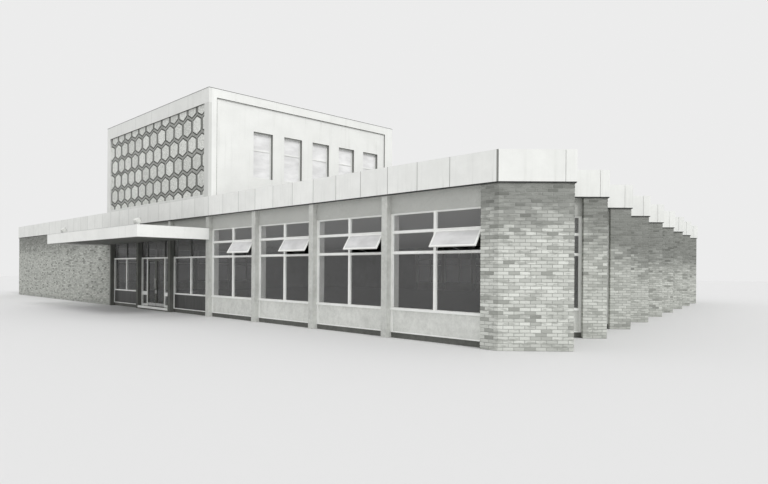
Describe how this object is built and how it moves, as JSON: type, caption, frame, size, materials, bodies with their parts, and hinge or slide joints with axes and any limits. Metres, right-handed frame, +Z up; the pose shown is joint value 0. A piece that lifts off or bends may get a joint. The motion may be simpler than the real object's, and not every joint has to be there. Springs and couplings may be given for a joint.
{
  "type": "library building",
  "caption": "Low brick library with glazed bays, a stepped side, a canopy and a taller white block with a honeycomb relief.",
  "frame": {"origin": "centre of the building's box, on the ground", "axes": "+X to the right along the front, -Y out of the front, +Z up"},
  "size_m": [38.4042, 30.7828, 8.24],
  "materials": {
    "brick": "rough",
    "white_render": "matte",
    "fascia_panel": "matte",
    "concrete": "rough",
    "aggregate": "rough",
    "spandrel": "matte",
    "dark_panel": "matte",
    "white_paint": "satin",
    "dark_wood": "satin",
    "glass": "gloss",
    "roofing": "rough",
    "metal": "satin"
  },
  "bodies": {
    "building": {"floor_slab": "concrete", "front_brick_wall": "brick", "left_wall": "brick", "rear_wall": "brick", "corner_pier": "brick", "side_piers": "brick", "side_return_walls": "brick", "wall_columns": "concrete", "front_window_frames": "white_paint", "side_window_frames": "white_paint", "back_window_frames": "white_paint", "front_window_glass": "glass", "side_window_glass": "glass", "back_window_glass": "glass", "spandrel_panels": "spandrel", "window_lintels": "aggregate", "window_plinths": "concrete", "front_vents": "white_paint", "front_vent_glass": "glass", "entrance_frames": "white_paint", "entrance_glass": "glass", "entrance_panels": "dark_panel", "door_jambs": "white_paint", "door_overlight": "white_paint", "door_threshold": "concrete", "low_roof": "roofing", "roof_parapet": "concrete", "front_fascia": "fascia_panel", "back_fascia": "fascia_panel", "side_fascia": "fascia_panel", "tower_front_frame": "white_render", "tower_relief_wall": "concrete", "relief_hexagons": "aggregate", "tower_right_wall": "white_render", "tower_left_wall": "white_render", "tower_rear_wall": "white_render", "tower_roof": "roofing", "tower_side_trim": "white_render", "tower_window_frames": "white_paint", "tower_window_glass": "glass", "canopy_fascia": "white_render", "canopy_roof": "roofing", "canopy_lights": "metal"},
    "left_door": {"left_door_leaf": "dark_wood", "left_door_glass": "glass"},
    "right_door": {"right_door_leaf": "dark_wood", "right_door_glass": "glass"}
  },
  "joints": [
    {"name": "left_door_hinge", "type": "hinge", "parent": "building", "child": "left_door", "pos_m": [-0.02458, -12.63138, 1.1], "axis": [0, 0, -1], "range_deg": [0, 95]},
    {"name": "right_door_hinge", "type": "hinge", "parent": "building", "child": "right_door", "pos_m": [1.54842, -12.63138, 1.1], "axis": [0, 0, 1], "range_deg": [0, 95]}
  ]
}
